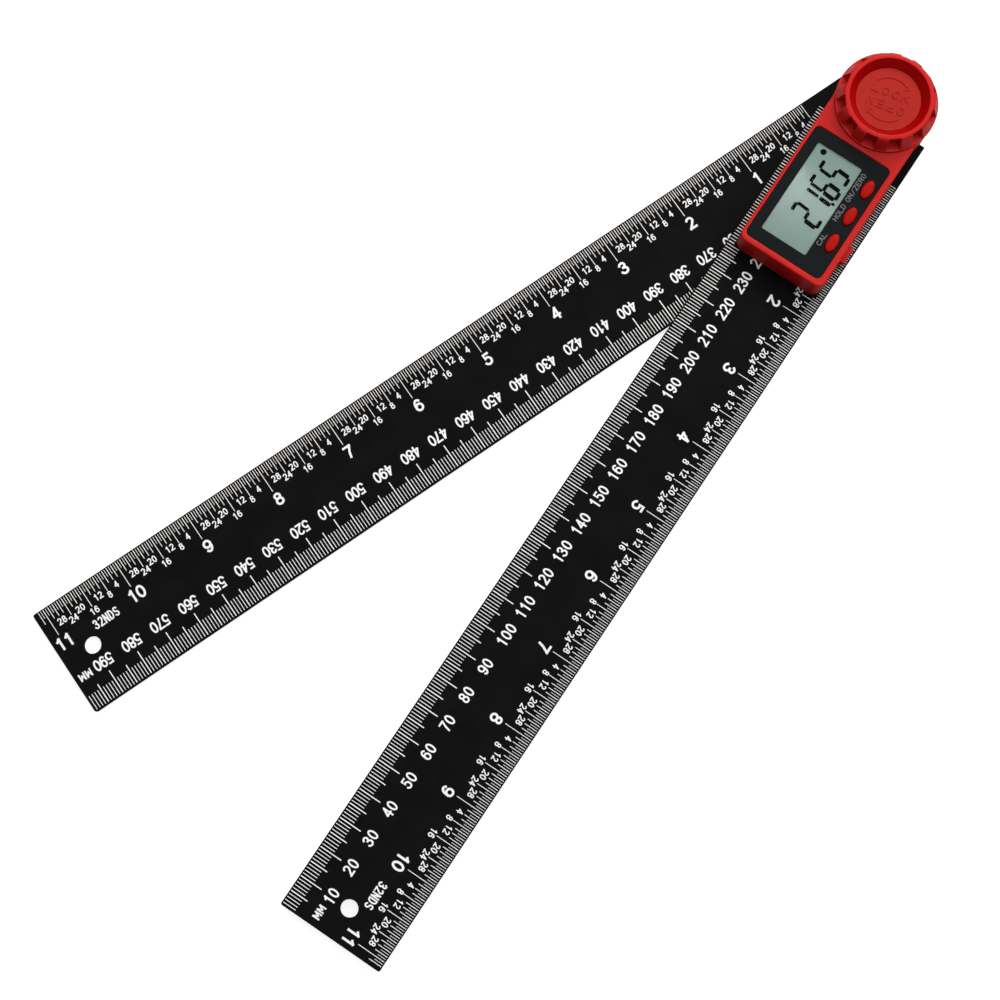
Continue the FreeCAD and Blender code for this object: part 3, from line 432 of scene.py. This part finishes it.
def countersunk(x, y, low):
    """A screw head as a surface in radius and angle: a flat disc with a cross recess, whose depth
    falls off across each arm and towards its end, then the cone, the shank and a closed tip."""
    radius = np.array([0.001, 0.15, 0.3, 0.5, 0.7, 0.85, 1.0, 1.15, 1.3, 1.5, 1.75, 1.93])
    u, v = radius[:, None] * np.cos(ROUND), radius[:, None] * np.sin(ROUND)
    across = np.minimum(abs(u), abs(v))
    along = np.maximum(abs(u), abs(v))
    groove = np.clip((0.34 - across) / 0.12, 0, 1) * np.clip((1.25 - along) / 0.2, 0, 1)
    rest_r = np.array([SCREW_HEAD_R, 1.95, 1.0, 1.0, 0.7, 0.001])
    rest_z = np.array([0.05, 0.12, 1.0, 8.2, 8.55, 8.6])
    side_r, side_z = (np.repeat(row[:, None], len(ROUND), axis=1) for row in (rest_r, rest_z))
    xs = np.vstack([u, side_r * np.cos(ROUND)]) + x
    ys = np.vstack([v, side_r * np.sin(ROUND)]) + y
    zs = np.vstack([0.75 * groove, side_z]) + low
    return turned_grid(np.stack([xs, ys, zs], -1), poles=True, outwards=-1)


nylon_black = moulded("nylon_black", (0.02, 0.02, 0.02), 0.55, 0.3 * MM, 0.008 * MM, 0.1, 0.3)
screw_steel = metal("screw_steel", (0.5, 0.5, 0.5), 0.35, 0.3, 0.006, rings=False)
screw_low, screw_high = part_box("case_screws")
screws = []
for x in (screw_low.x / MM + SCREW_HEAD_R, screw_high.x / MM - SCREW_HEAD_R):
    for y in (screw_low.y / MM + SCREW_HEAD_R, screw_high.y / MM - SCREW_HEAD_R):
        screws.append(countersunk(x, y, screw_low.z / MM))
screw_piece = joined("cross_screws", screws, screw_steel, "head", smooth=35)
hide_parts("case_screws")
dressed(nylon_black, "housing_base")


# ---- Angle encoder and circuit board ----
# Green lacquered boards: a ring in the head's nose, a disc that turns over it with the stud, and
# the main board with its chip, switches, screws, contacts and film cable. The display's frame and
# its layered rubber strips stand on the main board.

def lacquered(name, colour, track, pitch):
    """Circuit board: lacquer over copper tracks, which are the mortar of a fine brick pattern."""
    finish, tree, shader = wired(name, Roughness=0.3, Specular_IOR_Level=0.4)
    place = tree.nodes.new("ShaderNodeTexCoord")
    runs = tree.nodes.new("ShaderNodeTexBrick")
    runs.offset = 0.35
    runs.inputs["Color1"].default_value = [*colour, 1]
    runs.inputs["Color2"].default_value = [c * 0.85 for c in colour] + [1]
    runs.inputs["Mortar"].default_value = [*track, 1]
    runs.inputs["Scale"].default_value = 1.0 / (pitch * MM)
    runs.inputs["Mortar Size"].default_value = 0.06
    lift = tree.nodes.new("ShaderNodeBump")
    lift.inputs["Distance"].default_value = 0.03 * MM
    link = tree.links.new
    link(place.outputs["Object"], runs.inputs["Vector"])
    link(runs.outputs["Color"], shader.inputs["Base Color"])
    link(runs.outputs["Fac"], lift.inputs["Height"])
    link(lift.outputs["Normal"], shader.inputs["Normal"])
    return finish


def striped(name, direction, dark, light, pitch, rough):
    """Bands of two colours that follow each other along a direction, X or Y."""
    finish, tree, shader = wired(name, Roughness=rough)
    place = tree.nodes.new("ShaderNodeTexCoord")
    bands = tree.nodes.new("ShaderNodeTexWave")
    bands.bands_direction = direction
    bands.inputs["Scale"].default_value = 1.0 / (pitch * MM) / 3.14
    shade = tree.nodes.new("ShaderNodeValToRGB")
    shade.color_ramp.elements[0].position = 0.45
    shade.color_ramp.elements[0].color = [*dark, 1]
    shade.color_ramp.elements[1].position = 0.55
    shade.color_ramp.elements[1].color = [*light, 1]
    link = tree.links.new
    link(place.outputs["Object"], bands.inputs["Vector"])
    link(bands.outputs["Fac"], shade.inputs["Fac"])
    link(shade.outputs["Color"], shader.inputs["Base Color"])
    return finish


board_green = lacquered("board_green", (0.01, 0.12, 0.03), (0.03, 0.2, 0.05), 1.6)
chip_black = moulded("chip_black", (0.01, 0.01, 0.01), 0.6, 0.1 * MM, 0.004 * MM)
dressed(board_green, "main_board", "stator_board", "encoder_rotor")
dressed(chip_black, "controller_chip", "board_parts")
film_cable = striped("film_cable", "Y", (0.45, 0.17, 0.02), (0.6, 0.25, 0.04), 0.5, 0.35)
layered_rubber = striped("layered_rubber", "X", (0.06, 0.06, 0.06), (0.5, 0.5, 0.52), 0.3, 0.7)
dressed(film_cable, "board_ribbon")
dressed(layered_rubber, "zebra_strips")
dressed(screw_steel, "board_screws", "dome_switches")
dressed(spring_steel, "contact_positive", "contact_negative")
dressed(nylon_white, "lcd_frame")


# ---- Head cover ----
# One red moulding: a flat bed for the faceplate inside a low rim, straight sides and a round nose
# under the knob. It is moulded in gloss and closed from below by the base plate.

housing_red = moulded("housing_red", (0.55, 0.012, 0.009), 0.36, 0.35 * MM, 0.006 * MM, 0.05, 0.12)
softened("housing_shell", "head_cover", 0.12, housing_red)


# ---- Battery tray and cell ----
# A drawer in the same red, with a pull tab and a nail notch beside it. It carries a coin cell,
# whose steel can is stamped plain, and slides out of the side next to the buttons.

softened("battery_tray", "battery_drawer", 0.12, housing_red)
cell_low, cell_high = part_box("coin_cell")
cell_x = (cell_low.x + cell_high.x) / 2 / MM
cell_y = (cell_low.y + cell_high.y) / 2 / MM
cell_steel = metal("cell_steel", (0.62, 0.62, 0.6), 0.22, 0.4, 0.004, x=cell_x, y=cell_y)
dressed(cell_steel, "coin_cell")


# ---- Faceplate and its words ----
# A dark grey sheet of acrylic with rounded corners, glued into the cover's bed. The words for the
# three buttons are screened on it in thin pale letters.

face_grey = moulded("face_grey", (0.0085, 0.0105, 0.0105), 0.22, 0.5 * MM, 0.002 * MM, 0.1, 0.08)
softened("faceplate", "face_sheet", 0.1, face_grey)
FACE_TOP = 15.0
face_words = []
for word, x in (("ON/ZERO", 32.4), ("HOLD", 39.5), ("CAL", 48.8)):
    face_words += marked(-1, word, 1.65, 1.25, 1.5, 0.24, x, -7.4)
word_shells = [inked(line, weight, FACE_TOP - 0.01, FACE_TOP + 0.02) for line, weight in face_words]
word_grey = moulded("word_grey", (0.18, 0.18, 0.18), 0.55, 0.3 * MM, 0.004 * MM, 0.05, 0.1)
joined("button_words", word_shells, word_grey, "head")


# ---- Display ----
# A twisted-nematic glass, grey-green where it is clear, with black seven-segment figures and a
# round pointer dot. A flat acrylic lens with a bevelled rim lies over it, flush with the sheet.

def round_outline(x0, x1, y0, y1, r, inset):
    """Rectangle with quarter-circle corners, all moved inwards by the inset."""
    corners = [(x1 - r, y0 + r, -90), (x1 - r, y1 - r, 0), (x0 + r, y1 - r, 90), (x0 + r, y0 + r, 180)]
    return np.vstack([bend(x, y, r - inset, r - inset, a, a + 90, 7) for x, y, a in corners])


def segment(a, b, width):
    """A bar from a to b that narrows at both ends."""
    a, b = np.array(a), np.array(b)
    tip = (b - a) / np.linalg.norm(b - a) * 0.3
    return np.array([a, a + tip, b - tip, b]), np.array([0.35, 1, 1, 0.35]) * width


LCD_TOP = 14.4
WINDOW = (21.65, 54.25, -10.45, 5.15)
WINDOW_CORNER_R = 0.6
SLANT = 0.082                # the figures lean by this share of their height
SEGMENTS = {
    "top": ((0.2, 9.3), (3.0, 9.3), 1.15), "middle": ((0.25, 4.55), (2.85, 4.55), 1.1),
    "bottom": ((0.2, 0), (3.0, 0), 1.15), "upper left": ((0, 9.05), (0, 4.8), 1.1),
    "upper right": ((3.2, 9.05), (3.2, 4.8), 1.1), "lower left": ((0, 4.3), (0, 0.3), 1.4),
    "lower right": ((3.2, 4.3), (3.2, 0.3), 1.4),
}
READOUT = (
    (45.3, ("top", "upper right", "middle", "lower left", "bottom")),
    (40.0, ("upper right", "lower right")),
    (34.7, ("top", "upper left", "middle", "lower left", "lower right", "bottom")),
    (29.4, ("top", "upper left", "middle", "lower right", "bottom")),
)
figures = []
for x, lit in READOUT:
    for part in lit:
        line, width = segment(*SEGMENTS[part])
        line = line + line[:, 1:] * (SLANT, 0)
        figures.append((placed([line], x, 3.45, 180)[0], width))
figures.append(segment((35.98, 3.0), (35.9, 4.2), 0.95))            # the decimal point
figures.append((bend(23.5, -7.6, 0.49, 0.49, 0, 360, 25), 0.96))    # the pointer dot
segment_shells = [inked(line, width, LCD_TOP - 0.01, LCD_TOP + 0.02) for line, width in figures]
segment_black = moulded("segment_black", (0.002, 0.002, 0.002), 0.5, 0.2 * MM, 0.001 * MM, 0.1, 0.05)
joined("readout", segment_shells, segment_black, "head")

lcd_grey = moulded("lcd_grey", (0.245, 0.321, 0.299), 0.35, 0.25 * MM, 0.001 * MM, 0.05, 0.1)
polish = lcd_grey.node_tree.nodes["Principled BSDF"]
polish.inputs["Coat Weight"].default_value = 1.0
polish.inputs["Coat Roughness"].default_value = 0.06
dressed(lcd_grey, "lcd_glass")

# The lens is see-through, and mirrors a little on its outer faces only.
window_clear, tree, shader = wired("window_clear")
tree.nodes.remove(shader)
clear = tree.nodes.new("ShaderNodeBsdfTransparent")
clear.inputs["Color"].default_value = (0.96, 0.98, 0.97, 1)
gloss = tree.nodes.new("ShaderNodeBsdfGlossy")
gloss.inputs["Roughness"].default_value = 0.03
shine = tree.nodes.new("ShaderNodeFresnel")
shine.inputs["IOR"].default_value = 1.15
side = tree.nodes.new("ShaderNodeNewGeometry")
outer = tree.nodes.new("ShaderNodeMath")
outer.operation = "SUBTRACT"
outer.inputs[0].default_value = 1.0
share = tree.nodes.new("ShaderNodeMath")
share.operation = "MULTIPLY"
both = tree.nodes.new("ShaderNodeMixShader")
tree.links.new(side.outputs["Backfacing"], outer.inputs[1])
tree.links.new(outer.outputs["Value"], share.inputs[0])
tree.links.new(shine.outputs["Fac"], share.inputs[1])
tree.links.new(share.outputs["Value"], both.inputs["Fac"])
tree.links.new(clear.outputs["BSDF"], both.inputs[1])
tree.links.new(gloss.outputs["BSDF"], both.inputs[2])
tree.links.new(both.outputs["Shader"], tree.nodes["Material Output"].inputs["Surface"])
lens_rows = []
for inset, z in ((0.0, 14.5), (0.0, 14.85), (0.05, 14.96), (0.15, FACE_TOP), (0.4, FACE_TOP)):
    outline = round_outline(*WINDOW, WINDOW_CORNER_R, inset)
    lens_rows.append(np.column_stack([outline, np.full(len(outline), z)]))
lens_piece = joined("display_lens", [turned_grid(np.stack(lens_rows), poles=True)], window_clear,
                    "head", smooth=20)
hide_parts("display_window")


# ---- Push buttons ----
# Three domed ovals of bright red plastic that stand through the faceplate, each with a flange
# under the sheet that keeps it in and a small dome switch behind it.

HALF_LENGTH, HALF_WIDTH = 3.2, 1.7


def oval_button(x, y):
    """Rows of an oval: the share of its half axes against height, from the flange up the neck and
    over a dome that is a superellipse of power 2.6."""
    t = np.linspace(0, math.pi / 2, 10)[1:]
    share = np.concatenate([[0.01, 1.15, 1.15, 1.0, 1.0], np.cos(t) ** (2 / 2.6)])
    height = np.concatenate([[13.2, 13.2, 13.7, 13.7, 15.2], 15.2 + 0.7 * np.sin(t) ** (2 / 2.6)])
    share[-1] = 0.01
    xs = x + HALF_LENGTH * share[:, None] * np.cos(ROUND)
    ys = y + HALF_WIDTH * share[:, None] * np.sin(ROUND)
    zs = np.broadcast_to(height[:, None], xs.shape)
    return turned_grid(np.stack([xs, ys, zs], -1), poles=True)


button_red = moulded("button_red", (0.4, 0.005, 0.002), 0.3, 0.4 * MM, 0.002 * MM, 0.04, 0.06)
for name in ("power_button", "hold_button", "cal_button"):
    low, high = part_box(name)
    middle = (low + high) / 2 / MM
    cap = joined(name + "_cap", [oval_button(middle.x, middle.y)], button_red,
                 name, smooth=40)
    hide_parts(name)


# ---- Lock knob ----
# A hollow red cup screwed down on the stud by a brass insert. Twelve flutes are cut in its tapered
# grip, the top is a rounded rim round a slope of darker, smoother red, and a matte disc with raised
# words and arrows is pressed into the dish.

FLUTES = 12
FIRST_FLUTE = 9              # its angle from the head's middle line, in degrees
FLUTE_HALF = 7.9             # half of the angle that a flute spans
GRIP_FLOOR_R = 13.0          # the flutes' floor in the grip
RIM_FLOOR_R = 13.5           # and in the rim, where they are shallower
RIM_Z = 19.4                 # the floor steps out over 0.4 mm from this height
KNOB_CORNERS = (
    # radius, height, length cut off each side of the corner, share of the flute's depth; the
    # corners from 19.9 to 17.7 lie on the straight taper and give the floor's step its rows
    (12.2, 15.5, 0.15, 0), (12.2, 16.9, 0.3, 0), (7.55, 16.9, 0.2, 0), (7.55, 15.5, 0.15, 0),
    (5.05, 15.5, 0.1, 0), (5.05, 17.9, 0.1, 0), (10.1, 17.9, 0.05, 0), (10.1, 18.4, 0.1, 0),
    (12.2, 20.9, 0.3, 0), (13.9, 20.9, 0.85, 1), (14.25, 19.9, 0, 1), (14.32, 19.7, 0, 1),
    (14.36, 19.6, 0, 1), (14.39, 19.5, 0, 1), (14.46, 19.3, 0, 1), (15.04, 17.7, 0, 1),
    (15.59, 16.1, 0.12, 1), (15.79, 16.1, 0.08, 0), (15.79, 15.5, 0.15, 0),
)


def eased(t):
    """0 below 0, 1 above 1 and a smooth step between."""
    t = np.clip(t, 0, 1)
    return t * t * (3 - 2 * t)


def fluted_cup():
    """The knob as a closed profile of radius and height turned about the axis. Each corner is a
    short parabola between its neighbours' runs. In the flutes the radius eases to that of the
    floor, and stays as it is where it is smaller."""
    corners = np.array([(r, z, f) for r, z, _, f in KNOB_CORNERS])
    cuts = np.array([cut for _, _, cut, _ in KNOB_CORNERS])[:, None]
    back, ahead = np.roll(corners, 1, 0) - corners, np.roll(corners, -1, 0) - corners
    start = corners + back * cuts / np.linalg.norm(back[:, :2], axis=1)[:, None]
    end = corners + ahead * cuts / np.linalg.norm(ahead[:, :2], axis=1)[:, None]
    t = np.linspace(0, 1, 6)[None, :, None]
    curve = start[:, None] * (1 - t) ** 2 + corners[:, None] * 2 * t * (1 - t) + end[:, None] * t ** 2
    rows = np.vstack([run if cut else run[:1] for run, (cut,) in zip(curve, cuts)])
    radius, height, share = rows.T[:, :, None]
    across = np.array([-12.5, -10, -8.6, -8.1, -7.8, -7.5, -7.2, -6.9, -6.4, -5, -2.5, 0,
                       2.5, 5, 6.4, 6.9, 7.2, 7.5, 7.8, 8.1, 8.6, 10, 12.5, 15])
    step = (RIM_FLOOR_R - GRIP_FLOOR_R) * eased((height - RIM_Z) / 0.4)
    floor = np.minimum(radius, GRIP_FLOOR_R + step)
    pocket = eased(FLUTE_HALF - abs(across)) * share
    one = radius + (floor - radius) * pocket
    radii = np.tile(one, FLUTES)
    middles = FIRST_FLUTE + 360 / FLUTES * np.arange(FLUTES)[:, None]
    angle = np.radians((across + middles).ravel())
    heights = np.broadcast_to(height, radii.shape)
    grid = np.stack([radii * np.cos(angle), radii * np.sin(angle), heights], -1)
    return turned_grid(grid)


knob_red = moulded("knob_red", (0.57, 0.012, 0.009), 0.3, 0.4 * MM, 0.004 * MM, 0.05, 0.15)
# A darker and smoother red for the slope inside the rim.
darker_slope_red = moulded("darker_slope_red", (0.38, 0.001, 0.001), 0.2, 0.4 * MM, 0.001 * MM, 0.04, 0.1)
disc_red = moulded("disc_red", (0.42, 0.02, 0.014), 0.6, 0.3 * MM, 0.02 * MM, 0.05, 0.1)
cup = joined("knob_cup", [fluted_cup()], knob_red, "lock_knob", smooth=40)
cup.data.materials.append(darker_slope_red)
# The slope between the rim and the dish is given a darker, smoother red than the rest of the cup.
centres = np.array([face.center for face in cup.data.polygons]) / MM
spread = np.hypot(centres[:, 0], centres[:, 1])
slope = (spread > 10.1) & (spread < 12.25) & (centres[:, 2] > 18.3)
cup.data.polygons.foreach_set("material_index", slope.astype(np.int32))
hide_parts("lock_knob")
softened("knob_cap", "dish_disc", 0.1, disc_red)
dressed(turned_brass, "knob_insert")

relief = []
for word, turn in (("LOCK", 101), ("OPEN", 281)):
    lines = placed(lettered(word, 2.7, 2.4, 3.2, 0.45), -4.8, 0.85, 0)
    arrow = [bend(0, 0, 7.0, 7.0, 140, 48, 15), stroke([(3.6, 4.6), (4.75, 5.1), (4.5, 6.5)])]
    relief += placed(lines + arrow, 0, 0, turn)
relief_shells = [inked(line, 0.45, 18.35, 18.6) for line in relief]
joined("disc_relief", relief_shells, disc_red, "lock_knob")


# ---- Studio ----
# A white floor that keeps the tool's shadow, a wide soft box overhead, a key lamp from the pivot's
# end, a small card lamp that is mirrored in the display, and an even sky. None of it belongs to
# the tool.

def lamp(name, place, target, size, watts):
    """An area lamp at a place in metres that faces its target."""
    light = bpy.data.lights.new(name, "AREA")
    light.size = size
    light.energy = watts
    holder = bpy.data.objects.new(name, light)
    bpy.context.scene.collection.objects.link(holder)
    holder.location = place
    aim = np.array(target) - np.array(place)
    holder.rotation_euler = (math.atan2(math.hypot(aim[0], aim[1]), -aim[2]), 0,
                             math.atan2(aim[0], -aim[1]) + math.pi)


lamp("key", (-1.65, -0.2, 1.45), (0.12, -0.03, 0.0), 0.8, 14.0)
lamp("softbox", (-0.8, -0.1, 1.9), (0.1, -0.03, 0.0), 3.0, 62.0)
bpy.data.objects["softbox"].visible_glossy = False
lamp("card", (-0.3173, -0.0433, 1.0), (-0.3173, -0.0433, 0.0), 0.066, 0.11)
card = bpy.data.objects["card"]
card.rotation_euler = (0, 0, math.radians(-16.5))
card.data.shape = "RECTANGLE"
card.data.size_y = 0.075
card.data.use_nodes = True
card_tree = card.data.node_tree
spot = card_tree.nodes.new("ShaderNodeNewGeometry")
slant = card_tree.nodes.new("ShaderNodeVectorMath")
slant.operation = "DOT_PRODUCT"
slant.inputs[1].default_value = (0.8, 0.6, 0.0)
fade = card_tree.nodes.new("ShaderNodeMapRange")
fade.inputs["To Min"].default_value = 1.0
fade.inputs["To Max"].default_value = 0.0
card_tree.links.new(spot.outputs["Parametric"], slant.inputs[0])
card_tree.links.new(slant.outputs["Value"], fade.inputs["Value"])
card_tree.links.new(fade.outputs["Result"], card_tree.nodes["Emission"].inputs["Strength"])


def by_camera(tree, unseen, seen):
    """A level that is one value where the camera looks and another for all other rays."""
    path = tree.nodes.new("ShaderNodeLightPath")
    level = tree.nodes.new("ShaderNodeMapRange")
    level.inputs["To Min"].default_value = unseen
    level.inputs["To Max"].default_value = seen
    tree.links.new(path.outputs["Is Camera Ray"], level.inputs["Value"])
    return level.outputs["Result"]


sky = bpy.data.worlds.new("sky")
bpy.context.scene.world = sky
sky.use_nodes = True
sky_light = sky.node_tree.nodes["Background"]
sky_light.inputs["Color"].default_value = (1, 1, 1, 1)
sky.node_tree.links.new(by_camera(sky.node_tree, 0.12, 1.0), sky_light.inputs["Strength"])

paper, tree, shader = wired("paper", Base_Color=(0.45, 0.45, 0.45, 1), Roughness=0.9)
shader.inputs["Emission Color"].default_value = (1, 1, 1, 1)
tree.links.new(by_camera(tree, 0.0, 0.8), shader.inputs["Emission Strength"])
FLOOR_Z = -0.0002
span = np.linspace(-2.5, 2.5, 6)
gx, gy = np.meshgrid(span, span, indexing="ij")
floor_mesh = bpy.data.meshes.new("floor")
i, j = np.meshgrid(np.arange(5), np.arange(5), indexing="ij")
floor_mesh.from_pydata(np.stack([gx, gy, np.full_like(gx, FLOOR_Z)], -1).reshape(-1, 3), [],
                       np.stack([6 * i + j, 6 * i + j + 6, 6 * i + j + 7, 6 * i + j + 1],
                                -1).reshape(-1, 4))
floor_mesh.materials.append(paper)
floor = bpy.data.objects.new("floor", floor_mesh)
bpy.context.scene.collection.objects.link(floor)


# ---- Camera ----
# It looks steeply down on the tool from 0.54 m above the floor, with a 65 mm lens on a frame
# 36 mm wide.

camera = bpy.data.cameras.new("view")
camera.sensor_width = 36
camera.lens = 36 * 1.80540
camera.clip_start = 0.01
stand = bpy.data.objects.new("view", camera)
bpy.context.scene.collection.objects.link(stand)
stand.location = (0.23777, 0.01232, 0.54011)
stand.rotation_euler = Euler([math.radians(a) for a in (8.8447, -0.4650, 123.8184)], "XYZ")
bpy.context.scene.camera = stand
bpy.context.scene.view_settings.view_transform = "Standard"
